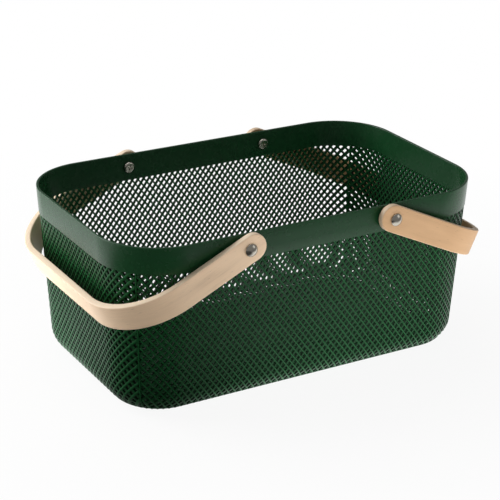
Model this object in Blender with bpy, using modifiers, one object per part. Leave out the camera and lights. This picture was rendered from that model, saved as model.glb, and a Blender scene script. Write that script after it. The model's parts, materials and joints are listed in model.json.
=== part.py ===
"""Plastic mesh basket with two bent-wood bail handles.

One injection-moulded tub: a plain rim band over walls of two crossing layers of ribs, which turn
under the bottom radius into a plain border round a mesh base. Each handle is a U-shaped strip of
bent wood that swings on two dome-headed barrel nuts, held by pan-head screws from inside the rim.

Metres, +Z up, +X along the long side, origin on the floor under the middle of the basket.
The walls are modelled flat, in u along the rim, v down the wall and d into the basket, and are
then folded round the tub, so every face stays flat.
"""

import math

import bmesh
import bpy
from mathutils import Matrix, Vector

# Tub, over the rim band
LENGTH = 0.380
WIDTH = 0.2336
HEIGHT = 0.1665
CORNER_RADIUS = 0.060
DRAFT = math.radians(3.6)
BOTTOM_RADIUS = 0.024

# Rim band, border of the base and ribs
BAND_HEIGHT = 0.0255
BAND_PROUD = 0.0005
BAND_CHAMFER = 0.0006
BAND_THICKNESS = 0.0025
BAND_FOOT = 0.0016
LAYER = 0.0014
FRAME_STEP = 0.0003
RIB_WIDTH = 0.0096
SEAM_WIDTH = 0.0050
BASE_BORDER = 0.0070
GATE_DISC_RADIUS = 0.0150
CELLS_ALONG = 12
CELLS_ACROSS = 7
CELLS_DOWN = 4
BASE_CELLS_ALONG = 10
BASE_CELLS_ACROSS = 4

# Handle strips
PIVOT_X = 0.075
PIVOT_DROP = 0.0125
STRIP_WIDTH = 0.0253
STRIP_THICKNESS = 0.0062
HANDLE_OVERHANG = 0.0125
STRIP_END_OFFSET = 0.0031
HANDLE_BEND_RADIUS = 0.058
STRIP_EDGE = 0.0011

# Pivot fasteners
BARREL_RADIUS = 0.0029
DOME_RADIUS = 0.0060
DOME_HEIGHT = 0.0034
DOME_RIM = 0.0006
SHANK_RADIUS = 0.0018
HEAD_RADIUS = 0.0055
HEAD_HEIGHT = 0.0028
HEAD_EDGE = 0.0007
RECESS_REACH = 0.0027
RECESS_WIDTH = 0.0011
RECESS_DEPTH = 0.0013
THREAD_LENGTH = 0.0070
SPACER_RADIUS = 0.0072
SPACER_THICKNESS = 0.0014

# Clearances
SEAT_GAP = 0.0003
PIVOT_PLAY = 0.0003
OVERRUN = 0.0040
WELD = 0.000002
FLAT_ANGLE = math.radians(0.05)

# Facets
CORNER_FACETS = 6
BOTTOM_FACETS = 3
BEND_FACETS = 9
ROUND_FACETS = 14
STRIP_END_FACETS = 10
DOME_FACETS = 4

NAME = "plastic_mesh_basket"
CORNERS = {"front_left": (-1, -1), "front_right": (1, -1), "back_left": (-1, 1), "back_right": (1, 1)}

# Sizes that follow from those above
WALL = 2 * LAYER
MESH_LENGTH = LENGTH - 2 * BAND_PROUD / math.cos(DRAFT)
MESH_WIDTH = WIDTH - 2 * BAND_PROUD / math.cos(DRAFT)
MESH_RADIUS = CORNER_RADIUS - BAND_PROUD / math.cos(DRAFT)
FRAME_BACK = WALL + FRAME_STEP
BAND_BACK = BAND_THICKNESS - BAND_PROUD
PIVOT_Z = HEIGHT - PIVOT_DROP
HANDLE_REACH = LENGTH / 2 - PIVOT_X + HANDLE_OVERHANG
FRONT = WIDTH / 2 - (PIVOT_DROP - SPACER_RADIUS) * math.tan(DRAFT)
SPACER_FACE = FRONT + SEAT_GAP
ARM_FACE = SPACER_FACE + SPACER_THICKNESS + SEAT_GAP
DOME_FACE = ARM_FACE + STRIP_THICKNESS + SEAT_GAP
BAND_TAPER = (FRAME_BACK - BAND_BACK) / (BAND_HEIGHT - BAND_FOOT)
HEAD_DROP = PIVOT_DROP + HEAD_RADIUS
BAND_SLICE = (BAND_THICKNESS + BAND_TAPER * HEAD_DROP) / math.cos(DRAFT)
HEAD_FACE = WIDTH / 2 - HEAD_DROP * math.tan(DRAFT) - BAND_SLICE - SEAT_GAP


def clear_scene():
    for obj in list(bpy.data.objects):
        bpy.data.objects.remove(obj, do_unlink=True)


def collection(name):
    found = bpy.data.collections.new(name)
    bpy.context.scene.collection.children.link(found)
    return found


def material(name, colour, roughness, metallic):
    made = bpy.data.materials.new(name)
    made.use_nodes = True
    shader = made.node_tree.nodes["Principled BSDF"]
    shader.inputs["Base Color"].default_value = (*colour, 1)
    shader.inputs["Roughness"].default_value = roughness
    shader.inputs["Metallic"].default_value = metallic
    made.diffuse_color = (*colour, 1)
    return made


def add_object(name, mesh, group):
    obj = bpy.data.objects.new(name, mesh)
    group.objects.link(obj)
    return obj


def add_cutter(name, mesh):
    cutter = add_object(name, mesh, CUTTERS)
    cutter.hide_render = True
    cutter.display_type = "WIRE"
    return cutter


def merge_flat(bm):
    """Joins faces that lie in one plane, and drops the spare points along their edges."""
    bmesh.ops.dissolve_limit(bm, angle_limit=FLAT_ANGLE, verts=bm.verts, edges=bm.edges)


def mesh_from(bm, name):
    mesh = bpy.data.meshes.new(name)
    bm.to_mesh(mesh)
    bm.free()
    return mesh


def box_mesh(name, low, high):
    bm = bmesh.new()
    add_box(bm, low, high, Matrix())
    return mesh_from(bm, name)


def add_box(bm, low, high, turn):
    size = [b - a for a, b in zip(low, high)]
    middle = [(a + b) / 2 for a, b in zip(low, high)]
    place = turn @ Matrix.Translation(middle) @ Matrix.Diagonal((*size, 1))
    bmesh.ops.create_cube(bm, size=1, matrix=place)


def add_cylinder(bm, radius, depth, place):
    bmesh.ops.create_cone(bm, cap_ends=True, segments=ROUND_FACETS, radius1=radius, radius2=radius,
                          depth=depth, matrix=place)


def boolean(obj, cutter, operation):
    modifier = obj.modifiers.new(cutter.name, "BOOLEAN")
    modifier.operation = operation
    modifier.object = cutter
    modifier.solver = "EXACT"


def baked(obj):
    """Mesh of an object as its modifiers leave it."""
    bpy.context.view_layer.update()
    graph = bpy.context.evaluated_depsgraph_get()
    return bpy.data.meshes.new_from_object(obj.evaluated_get(graph))


def outline_prism(name, points, low, high):
    """Closed mesh of a flat outline given depth by a 2D curve, from d = low to d = high."""
    curve = bpy.data.curves.new(name, "CURVE")
    curve.dimensions = "2D"
    curve.fill_mode = "BOTH"
    curve.extrude = (high - low) / 2
    spline = curve.splines.new("POLY")
    spline.points.add(len(points) - 1)
    for place, (x, y) in zip(spline.points, points):
        place.co = (x, y, 0, 1)
    spline.use_cyclic_u = True
    holder = add_object(name, curve, CUTTERS)
    mesh = baked(holder)
    bpy.data.objects.remove(holder, do_unlink=True)
    mesh.transform(Matrix.Translation((0, 0, (low + high) / 2)))
    bm = bmesh.new()
    bm.from_mesh(mesh)
    bmesh.ops.remove_doubles(bm, verts=bm.verts, dist=WELD)
    bmesh.ops.recalc_face_normals(bm, faces=bm.faces)
    return mesh_from(bm, name)


def arc(centre, radius, start, end, facets):
    steps = [start + (end - start) * i / facets for i in range(facets + 1)]
    return [(centre[0] + radius * math.cos(a), centre[1] + radius * math.sin(a)) for a in steps]


# Shape of the tub: the wall's slope and bottom radius, and the plan outline


def wall_profile():
    """Stations down the wall: distance v, inset s, height z, and the way that depth d moves s and z."""
    lean = Vector((math.sin(DRAFT), -math.cos(DRAFT)))
    turn = (math.pi / 2 - DRAFT) / BOTTOM_FACETS
    foot = (HEIGHT - FRAME_STEP - BOTTOM_RADIUS * (1 - math.sin(DRAFT))) / math.cos(DRAFT)
    top = Vector((0, HEIGHT))
    stations = [(0, top, Vector((1 / math.cos(DRAFT), 0)))]
    middle = top + lean * foot + Vector((math.cos(DRAFT), math.sin(DRAFT))) * BOTTOM_RADIUS
    for i in range(BOTTOM_FACETS + 1):
        angle = DRAFT + i * turn
        spoke = Vector((math.cos(angle), math.sin(angle)))
        mitre = spoke / math.cos(turn / 2)
        if i in (0, BOTTOM_FACETS):
            tilt = turn / 4 if i == 0 else -turn / 4
            mitre = Vector((math.cos(angle + tilt), math.sin(angle + tilt))) / math.cos(turn / 4)
        stations.append((foot + BOTTOM_RADIUS * i * turn, middle - spoke * BOTTOM_RADIUS, mitre))
    bottom_v, bottom, _ = stations[-1]
    stations.append((bottom_v + BASE_BORDER, bottom + Vector((BASE_BORDER, 0)), Vector((0, 1))))
    return stations


PROFILE = wall_profile()
BOTTOM_V = PROFILE[-2][0]
END_V = PROFILE[-1][0]
END_INSET = PROFILE[-1][1][0]


def on_profile(v, d):
    """Inset and height of the point v down the wall and d deep."""
    for (v0, p0, m0), (v1, p1, m1) in zip(PROFILE, PROFILE[1:]):
        if v <= v1 or v1 == END_V:
            share = (v - v0) / (v1 - v0)
            return (p0 + m0 * d).lerp(p1 + m1 * d, share)


def corner_angles():
    half = CORNER_FACETS // 2
    return [i * math.pi / 2 / CORNER_FACETS for i in range(half + 1)]


def on_side(u, inset, straight, depth):
    """Plan place of the point u along a side, measured at the rim, on the outline moved in by inset."""
    radius = MESH_RADIUS - inset
    bend = abs(u) - straight / 2
    if bend <= 0:
        return u, -(depth - inset)
    angles = corner_angles()
    step = angles[1]
    index = min(int(bend / MESH_RADIUS / step), len(angles) - 2)
    share = bend / MESH_RADIUS / step - index
    start = Vector((math.sin(angles[index]), -math.cos(angles[index])))
    end = Vector((math.sin(angles[index + 1]), -math.cos(angles[index + 1])))
    spoke = start.lerp(end, share) * radius
    side = math.copysign(1, u)
    return side * (straight / 2 + spoke[0]), -(depth - MESH_RADIUS) + spoke[1]


# Mesh walls


def diagonal_ribs(name, low, high, cell, origin, lean, front, back):
    """Parallel ribs over the window low to high, leaning down to the right for lean 1, left for -1."""
    slope = lean * cell[1] / cell[0]
    angle = math.atan(slope)
    shifts = [(v - origin[1] - slope * (u - origin[0])) / cell[1]
              for u in (low[0], high[0]) for v in (low[1], high[1])]
    bm = bmesh.new()
    for i in range(math.ceil(min(shifts)), math.floor(max(shifts)) + 1):
        line = clipped_line(low, high, origin, slope, i * cell[1])
        if line is None:
            continue
        (u0, v0), (u1, v1) = line
        middle = ((u0 + u1) / 2, (v0 + v1) / 2, 0)
        half = math.hypot(u1 - u0, v1 - v0) / 2 + RIB_WIDTH
        turn = Matrix.Translation(middle) @ Matrix.Rotation(angle, 4, "Z")
        add_box(bm, (-half, -RIB_WIDTH / 2, front), (half, RIB_WIDTH / 2, back), turn)
    return add_cutter(name, mesh_from(bm, name))


def clipped_line(low, high, origin, slope, shift):
    """Ends of the line v = origin + slope u + shift inside the window, or None if it misses."""
    def v_at(u):
        return origin[1] + shift + slope * (u - origin[0])

    def u_at(v):
        return origin[0] + (v - origin[1] - shift) / slope

    marks = sorted((u_at(low[1]), u_at(high[1])))
    start = max(low[0], marks[0])
    end = min(high[0], marks[1])
    if end - start < RIB_WIDTH / 2:
        return None
    return (start, v_at(start)), (end, v_at(end))


def flat_wall(name, straight, cells, lean):
    """One side from corner seam to corner seam, laid out flat in u, v and d."""
    arc_length = MESH_RADIUS * math.pi / 4
    half = straight / 2 + arc_length
    plate = add_cutter(name, box_mesh(name, (-half - OVERRUN, 0, -BAND_PROUD),
                                      (half + OVERRUN, END_V + OVERRUN, FRAME_BACK)))
    relief = add_cutter(name + "_relief", box_mesh(name + "_relief",
                        (-half - 2 * OVERRUN, BAND_HEIGHT, -BAND_PROUD - OVERRUN),
                        (half + 2 * OVERRUN, END_V + 2 * OVERRUN, -FRAME_STEP)))
    window = add_cutter(name + "_window", box_mesh(name + "_window",
                        (-half + SEAM_WIDTH / 2, BAND_HEIGHT, -BAND_PROUD - OVERRUN),
                        (half - SEAM_WIDTH / 2, BOTTOM_V, FRAME_BACK + OVERRUN)))
    cell = (2 * half / cells, (BOTTOM_V - BAND_HEIGHT) / CELLS_DOWN)
    low = (-half, BAND_HEIGHT)
    high = (half, BOTTOM_V)
    outer = diagonal_ribs(name + "_outer_ribs", low, high, cell, low, lean, 0, LAYER)
    inner = diagonal_ribs(name + "_inner_ribs", low, high, cell, low, -lean, LAYER, WALL)
    taper = box_mesh(name + "_taper", (-half - 2 * OVERRUN, -BAND_HEIGHT - OVERRUN, 0),
                     (half + 2 * OVERRUN, OVERRUN, FRAME_BACK + OVERRUN))
    taper.transform(Matrix.Rotation(math.atan(BAND_TAPER), 4, "X"))
    taper.transform(Matrix.Translation((0, BAND_HEIGHT - BAND_FOOT, FRAME_BACK)))
    trim = add_cutter(name + "_trim", box_mesh(name + "_trim",
                      (-half, -OVERRUN, -BAND_PROUD - OVERRUN), (half, END_V, FRAME_BACK + OVERRUN)))
    boolean(plate, relief, "DIFFERENCE")
    boolean(plate, window, "DIFFERENCE")
    boolean(plate, outer, "UNION")
    boolean(plate, inner, "UNION")
    boolean(plate, add_cutter(name + "_taper", taper), "DIFFERENCE")
    boolean(plate, trim, "INTERSECT")
    return plate, half


def cut_at(bm, place, normal):
    everything = list(bm.verts) + list(bm.edges) + list(bm.faces)
    bmesh.ops.bisect_plane(bm, geom=everything, dist=WELD, plane_co=place, plane_no=normal)


def chamfer_rim(bm):
    """Takes the corners off the two long edges of the rim."""
    edges = []
    for edge in bm.edges:
        a, b = (v.co for v in edge.verts)
        if abs(a[1]) < WELD and abs(b[1]) < WELD and abs(a[2] - b[2]) < WELD:
            edges.append(edge)
    bmesh.ops.bevel(bm, geom=edges, offset=BAND_CHAMFER, segments=1, affect="EDGES")


def open_seams(bm, axis, place):
    """Removes the faces on which a flat piece meets its neighbour."""
    lost = [f for f in bm.faces if all(abs(v.co[axis] - place) < WELD for v in f.verts)]
    bmesh.ops.delete(bm, geom=lost, context="FACES")


def wall_side(name, length, depth, cells, lean, turn):
    """One side of the tub, folded round its two half corners and under the bottom radius."""
    straight = length - 2 * MESH_RADIUS
    flat, half = flat_wall(name, straight, cells, lean)
    bm = bmesh.new()
    bm.from_mesh(baked(flat))
    merge_flat(bm)
    chamfer_rim(bm)
    for angle in corner_angles()[:-1]:
        for side in (-1, 1):
            cut_at(bm, (side * (straight / 2 + MESH_RADIUS * angle), 0, 0), (1, 0, 0))
    for v, _, _ in PROFILE[1:-1]:
        cut_at(bm, (0, v, 0), (0, 1, 0))
    open_seams(bm, 0, -half)
    open_seams(bm, 0, half)
    open_seams(bm, 1, END_V)
    for vert in bm.verts:
        inset, z = on_profile(vert.co[1], vert.co[2])
        x, y = on_side(vert.co[0], inset, straight, depth)
        vert.co = turn @ Vector((x, y, z))
    return mesh_from(bm, name + "_folded")


# Mesh base


def base_outline(inset):
    radius = MESH_RADIUS - inset
    x = MESH_LENGTH / 2 - MESH_RADIUS
    y = MESH_WIDTH / 2 - MESH_RADIUS
    points = []
    for i, (cx, cy) in enumerate(((x, y), (-x, y), (-x, -y), (x, -y))):
        points += arc((cx, cy), radius, i * math.pi / 2, (i + 1) * math.pi / 2, CORNER_FACETS)
    return points


def mesh_base():
    """Base inside the plain border: its own border, the two layers of ribs and the gate disc."""
    plate = add_cutter("base", outline_prism("base", base_outline(END_INSET), -FRAME_STEP, FRAME_BACK))
    window = add_cutter("base_window", outline_prism("base_window", base_outline(END_INSET + BASE_BORDER / 2),
                        -FRAME_STEP - OVERRUN, FRAME_BACK + OVERRUN))
    reach = add_cutter("base_reach", outline_prism("base_reach", base_outline(END_INSET + BASE_BORDER / 4),
                       -FRAME_STEP - OVERRUN, FRAME_BACK + OVERRUN))
    boolean(plate, window, "DIFFERENCE")
    half = (MESH_LENGTH / 2 - END_INSET - BASE_BORDER / 2, MESH_WIDTH / 2 - END_INSET - BASE_BORDER / 2)
    cell = (2 * half[0] / BASE_CELLS_ALONG, 2 * half[1] / BASE_CELLS_ACROSS)
    low = (-half[0], -half[1])
    for layer, lean in enumerate((1, -1)):
        ribs = diagonal_ribs(f"base_ribs_{layer}", low, half, cell, (0, 0), lean, layer * LAYER,
                             (layer + 1) * LAYER)
        boolean(ribs, reach, "INTERSECT")
        boolean(plate, ribs, "UNION")
    bm = bmesh.new()
    add_cylinder(bm, GATE_DISC_RADIUS, FRAME_STEP + FRAME_BACK,
                 Matrix.Translation((0, 0, (FRAME_BACK - FRAME_STEP) / 2)))
    boolean(plate, add_cutter("gate_disc", mesh_from(bm, "gate_disc")), "UNION")
    bm = bmesh.new()
    bm.from_mesh(baked(plate))
    merge_flat(bm)
    rim = [Vector(p) for p in base_outline(END_INSET)]
    lost = [f for f in bm.faces if abs(f.normal[2]) < 0.5 and on_outline(f, rim)]
    bmesh.ops.delete(bm, geom=lost, context="FACES")
    bmesh.ops.translate(bm, verts=bm.verts, vec=(0, 0, FRAME_STEP))
    return mesh_from(bm, "base_open")


def on_outline(face, rim):
    """Whether every corner of a face lies on a corner of the outline."""
    return all(min((v.co.xy - p).length for p in rim) < WELD for v in face.verts)


def make_basket():
    sides = [("front_wall", MESH_LENGTH, MESH_WIDTH / 2, CELLS_ALONG, 1),
             ("right_wall", MESH_WIDTH, MESH_LENGTH / 2, CELLS_ACROSS, -1),
             ("back_wall", MESH_LENGTH, MESH_WIDTH / 2, CELLS_ALONG, 1),
             ("left_wall", MESH_WIDTH, MESH_LENGTH / 2, CELLS_ACROSS, -1)]
    bm = bmesh.new()
    bm.from_mesh(mesh_base())
    for i, (name, length, depth, cells, lean) in enumerate(sides):
        bm.from_mesh(wall_side(name, length, depth, cells, lean, Matrix.Rotation(i * math.pi / 2, 3, "Z")))
    bmesh.ops.remove_doubles(bm, verts=bm.verts, dist=WELD)
    basket = add_object("basket", mesh_from(bm, "basket"), PARTS)
    bm = bmesh.new()
    for x, y in CORNERS.values():
        turn = Matrix.Rotation(math.pi / 2, 4, "X")
        place = Matrix.Translation((x * PIVOT_X, y * WIDTH / 2, PIVOT_Z)) @ turn
        add_cylinder(bm, BARREL_RADIUS + PIVOT_PLAY, 2 * BAND_SLICE + 2 * OVERRUN, place)
    boolean(basket, add_cutter("pivot_holes", mesh_from(bm, "pivot_holes")), "DIFFERENCE")
    basket.data.materials.append(material("green_plastic", (0.018, 0.070, 0.030), 0.35, 0))
    return basket


# Handles


def strip_outline():
    """Plan of the bent strip, flat on its bench: two arms and the cross run, one thickness apart."""
    outer = []
    inner = []
    x = HANDLE_REACH - HANDLE_BEND_RADIUS
    y = ARM_FACE - HANDLE_BEND_RADIUS
    for points, radius in ((outer, HANDLE_BEND_RADIUS + STRIP_THICKNESS), (inner, HANDLE_BEND_RADIUS)):
        points.append((-STRIP_WIDTH, -y - radius))
        points += arc((x, -y), radius, -math.pi / 2, 0, BEND_FACETS)
        points += arc((x, y), radius, 0, math.pi / 2, BEND_FACETS)
        points.append((-STRIP_WIDTH, y + radius))
    return outer + inner[::-1]


def side_outline():
    """Side of the strip: straight edges, with a half round end a little beyond the pivot."""
    half = STRIP_WIDTH / 2
    end = HANDLE_REACH + STRIP_THICKNESS + OVERRUN
    rounded = arc((-STRIP_END_OFFSET, 0), half, math.pi / 2, 3 * math.pi / 2, STRIP_END_FACETS)
    return [(end, -half), (end, half)] + rounded


def handle_rest_angle():
    """Angle below level at which the strip's lower edge comes to lie on the end wall."""
    slope = math.tan(DRAFT)
    half = STRIP_WIDTH / 2
    along = HANDLE_REACH + half * slope
    across = HANDLE_REACH * slope - half
    room = LENGTH / 2 - PIVOT_X - PIVOT_DROP * slope + (SEAT_GAP - BAND_PROUD) / math.cos(DRAFT)
    return math.atan2(across, along) + math.acos(room / math.hypot(along, across))


def handle_mesh():
    strip = add_cutter("strip", outline_prism("strip", strip_outline(), -STRIP_WIDTH / 2, STRIP_WIDTH / 2))
    reach = ARM_FACE + STRIP_THICKNESS + OVERRUN
    side = outline_prism("strip_side", side_outline(), -reach, reach)
    side.transform(Matrix.Rotation(math.pi / 2, 4, "X"))
    boolean(strip, add_cutter("strip_side", side), "INTERSECT")
    bevel = strip.modifiers.new("strip_edges", "BEVEL")
    bevel.width = STRIP_EDGE
    bevel.segments = 1
    bevel.limit_method = "ANGLE"
    bevel.angle_limit = math.radians(40)
    bm = bmesh.new()
    add_cylinder(bm, BARREL_RADIUS + PIVOT_PLAY, 2 * reach, Matrix.Rotation(math.pi / 2, 4, "X"))
    boolean(strip, add_cutter("strip_holes", mesh_from(bm, "strip_holes")), "DIFFERENCE")
    mesh = baked(strip)
    bpy.data.objects.remove(strip, do_unlink=True)
    mesh.name = "handle"
    mesh.shade_smooth()
    mesh.set_sharp_from_angle(angle=math.radians(35))
    return mesh


def make_handles():
    mesh = handle_mesh()
    mesh.materials.append(material("bent_wood", (0.62, 0.43, 0.25), 0.5, 0))
    for name, side in (("right_handle", 1), ("left_handle", -1)):
        handle = add_object(name, mesh, PARTS)
        handle.location = (side * PIVOT_X, 0, PIVOT_Z)
        handle.rotation_euler = (0, handle_rest_angle(), 0 if side > 0 else math.pi)


# Pivot fasteners, turned about their own axis with +Z out of the basket


def turned(name, profile, ring=False):
    """Object with the Screw modifier on a profile of radius and height, its outer side from top to bottom."""
    edges = [(i, i + 1) for i in range(len(profile) - 1)]
    if ring:
        edges.append((len(profile) - 1, 0))
    mesh = bpy.data.meshes.new(name)
    mesh.from_pydata([(r, 0, z) for r, z in profile], edges, [])
    obj = add_object(name, mesh, CUTTERS)
    screw = obj.modifiers.new("turn", "SCREW")
    screw.steps = ROUND_FACETS
    screw.render_steps = ROUND_FACETS
    screw.use_merge_vertices = True
    screw.merge_threshold = WELD
    screw.use_smooth_shade = True
    return obj


def finished(obj, name, look):
    mesh = baked(obj)
    mesh.name = name
    mesh.materials.append(look)
    mesh.shade_smooth()
    mesh.set_sharp_from_angle(angle=math.radians(40))
    bpy.data.objects.remove(obj, do_unlink=True)
    return mesh


def dome_points(radius, rise, base):
    steps = [i * math.pi / 2 / DOME_FACETS for i in range(DOME_FACETS + 1)]
    return [(radius * math.sin(a), base + rise * math.cos(a)) for a in steps]


def barrel_nut_mesh(look):
    """Dome head on a sleeve that reaches through the strip, the spacer and the band."""
    sleeve_end = HEAD_FACE + SEAT_GAP - DOME_FACE
    bore = SHANK_RADIUS + PIVOT_PLAY
    profile = dome_points(DOME_RADIUS, DOME_HEIGHT - DOME_RIM, DOME_RIM)
    profile += [(DOME_RADIUS, 0), (BARREL_RADIUS, 0), (BARREL_RADIUS, sleeve_end), (bore, sleeve_end)]
    bore_end = sleeve_end + THREAD_LENGTH + PIVOT_PLAY
    profile += [(bore, bore_end), (0, bore_end)]
    return finished(turned("barrel_nut", profile), "barrel_nut", look)


def screw_mesh(look):
    """Pan head with a cross recess, its shank in the nut's bore."""
    rise = HEAD_HEIGHT - HEAD_EDGE
    profile = dome_points(HEAD_RADIUS, rise, HEAD_EDGE)
    profile += [(HEAD_RADIUS, 0), (SHANK_RADIUS, 0), (SHANK_RADIUS, -SEAT_GAP - THREAD_LENGTH),
                (0, -SEAT_GAP - THREAD_LENGTH)]
    screw = turned("pivot_screw", profile)
    for i in range(2):
        bm = bmesh.new()
        turn = Matrix.Rotation(i * math.pi / 2, 4, "Z")
        add_box(bm, (-RECESS_REACH, -RECESS_WIDTH / 2, HEAD_HEIGHT - RECESS_DEPTH),
                (RECESS_REACH, RECESS_WIDTH / 2, HEAD_HEIGHT + OVERRUN), turn)
        boolean(screw, add_cutter(f"recess_{i}", mesh_from(bm, f"recess_{i}")), "DIFFERENCE")
    return finished(screw, "pivot_screw", look)


def spacer_mesh(look):
    hole = BARREL_RADIUS + PIVOT_PLAY
    profile = [(hole, SPACER_THICKNESS), (SPACER_RADIUS, SPACER_THICKNESS), (SPACER_RADIUS, 0), (hole, 0)]
    return finished(turned("spacer_washer", profile, ring=True), "spacer_washer", look)


def make_fasteners():
    nickel = material("nickel_steel", (0.60, 0.58, 0.55), 0.25, 1)
    nylon = material("dark_nylon", (0.02, 0.02, 0.02), 0.5, 0)
    kinds = (("barrel_nut", barrel_nut_mesh(nickel), DOME_FACE, 1),
             ("pivot_screw", screw_mesh(nickel), HEAD_FACE, -1),
             ("spacer_washer", spacer_mesh(nylon), SPACER_FACE, 1))
    for kind, mesh, face, outward in kinds:
        for corner, (x, y) in CORNERS.items():
            piece = add_object(f"{kind}_{corner}", mesh, PARTS)
            piece.location = (x * PIVOT_X, y * face, PIVOT_Z)
            piece.rotation_euler = (-y * outward * math.pi / 2, 0, 0)


clear_scene()
PARTS = collection(NAME)
CUTTERS = collection(NAME + "_cutters")
make_basket()
make_handles()
make_fasteners()
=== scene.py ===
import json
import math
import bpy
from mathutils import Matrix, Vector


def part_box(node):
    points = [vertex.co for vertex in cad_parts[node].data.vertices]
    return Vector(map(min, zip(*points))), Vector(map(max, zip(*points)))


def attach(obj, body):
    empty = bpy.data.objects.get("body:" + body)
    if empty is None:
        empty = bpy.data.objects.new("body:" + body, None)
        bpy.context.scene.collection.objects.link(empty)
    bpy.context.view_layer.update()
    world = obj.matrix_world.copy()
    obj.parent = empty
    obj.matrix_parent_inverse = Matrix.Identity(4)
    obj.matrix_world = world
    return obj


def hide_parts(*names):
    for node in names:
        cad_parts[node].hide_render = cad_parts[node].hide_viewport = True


bl_info = {
    "name": "Mesh basket builder",
    "version": (1, 0, 0),
    "blender": (4, 5, 0),
    "location": "3D View > Sidebar > Basket",
    "description": "Dresses the basket's solids with fine mesh, bent wood and turned metal",
    "category": "Object",
}

import bmesh
import bpy
import numpy as np
from bpy.props import FloatProperty, FloatVectorProperty, PointerProperty
from bpy.types import Operator, Panel, PropertyGroup
from mathutils import Matrix, Vector

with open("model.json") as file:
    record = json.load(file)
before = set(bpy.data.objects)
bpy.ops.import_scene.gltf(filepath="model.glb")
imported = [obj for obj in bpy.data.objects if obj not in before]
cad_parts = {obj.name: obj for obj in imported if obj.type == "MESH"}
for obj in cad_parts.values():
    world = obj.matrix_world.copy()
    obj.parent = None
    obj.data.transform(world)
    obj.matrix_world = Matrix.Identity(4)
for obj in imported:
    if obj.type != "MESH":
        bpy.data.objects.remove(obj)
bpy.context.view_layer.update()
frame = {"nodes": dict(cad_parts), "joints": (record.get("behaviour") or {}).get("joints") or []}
PIVOTS = {joint["child"]: Vector(joint["pos_m"]) for joint in frame["joints"]}
CORNERS = {"front_left": (-1, -1), "front_right": (1, -1), "back_left": (-1, 1), "back_right": (1, 1)}
TUB = "tub"
UP = Vector((0, 0, 1))


def metres(name, about, value):
    return FloatProperty(name=name, description=about, default=value, unit="LENGTH", precision=5)


def degrees(name, about, value):
    return FloatProperty(name=name, description=about, default=math.radians(value), subtype="ANGLE")


def colour(name, about, value):
    return FloatVectorProperty(name=name, description=about, default=value, subtype="COLOR", size=3,
                               min=0, max=1)


def spot(name, about, value):
    return FloatVectorProperty(name=name, description=about, default=value, size=3, unit="LENGTH")


def holes(name, value):
    return FloatVectorProperty(name=name, description="Hole spacing both ways, and one hole's place",
                               default=value, size=4, unit="LENGTH", precision=6)


def portion(name, about, value):
    return FloatProperty(name=name, description=about, default=value, subtype="FACTOR", min=0, max=1)


def amount(name, about, value):
    return FloatProperty(name=name, description=about, default=value)


class BasketTubSizes(PropertyGroup):
    length: metres("Length", "Length over the rim", 0.380)
    width: metres("Width", "Width over the rim", 0.2336)
    height: metres("Height", "Height from the floor to the rim", 0.1665)
    corner_radius: metres("Corner radius", "Corner radius of the rim seen from above", 0.060)
    draft: degrees("Draft", "Lean of the walls", 3.6)
    bottom_radius: metres("Bottom radius", "Radius between the walls and the base", 0.024)
    band_height: metres("Band height", "Height of the plain band under the rim", 0.0255)
    band_proud: metres("Band proud", "How far the band stands out from the mesh", 0.0005)
    band_back: metres("Band back", "Depth of the band's inner face behind the mesh's face", 0.0020)
    band_foot: metres("Band foot", "Height of the band's foot, which is as deep as the mesh", 0.0016)
    band_round: metres("Band rounding", "Radius of the rim's two edges", 0.0007)
    foot_round: metres("Foot rounding", "Radius of the edges under the band", 0.0003)
    mesh_depth: metres("Mesh depth", "Depth of the two layers of ribs together", 0.0031)
    rib_depth: metres("Rib depth", "Depth of one rib, which reaches into the other layer", 0.0025)
    rib_width: metres("Rib width", "Width of a rib at its foot, square to itself", 0.0019)
    crest_width: metres("Crest width", "Width of a rib at its crest, square to itself", 0.0012)
    end_ribs: amount("End walls' ribs", "How much wider the ribs of the two end walls are", 1.40)
    crest_round: metres("Crest rounding", "Depth over which a rib's crest is rounded", 0.0003)
    seam_width: metres("Seam width", "Width of the plain seam between two panels of mesh", 0.0013)
    seam_turn: degrees("Corner seam", "Where a corner's seam lies, from the long wall's face", 46.2)
    foot_turn: degrees("Foot seam", "Where the seam between wall and base lies on the bottom bend", 50)
    clearance: metres("Clearance", "Height of the mesh of the base above the floor", 0.0003)
    ring_width: metres("Ring width", "Width of the flat ring that the basket rests on", 0.0040)
    disc_radius: metres("Disc radius", "Radius of the plain disc in the middle of the base", 0.0150)


class BasketMeshSizes(PropertyGroup):
    front: holes("Front holes", (0.006275, 0.008075, -0.00145, 0.14285))
    back: holes("Back holes", (0.006250, 0.008040, 0.00060, 0.13965))
    left: holes("Left holes", (0.006700, 0.008050, -0.00090, 0.13950))
    right: holes("Right holes", (0.006700, 0.008050, 0.0, 0.14105))
    base: holes("Base holes", (0.006275, 0.008050, 0.0, 0.0))


class BasketHandleSizes(PropertyGroup):
    half_width: metres("Half width", "From the middle to a handle's inner face", 0.11845)
    reach: metres("Reach", "From the pivot to the inner face of the handle's end", 0.1275)
    bend_radius: metres("Bend radius", "Inner radius of a handle's bends", 0.058)
    strip_width: metres("Strip width", "Width of the wooden strip", 0.0253)
    strip_thickness: metres("Strip thickness", "Thickness of the wooden strip", 0.0062)
    edge_round: metres("Edge rounding", "Radius of the strip's sanded edges", 0.0011)
    end_offset: metres("End offset", "How far the round end's centre lies beyond the pivot", 0.0031)


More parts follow.
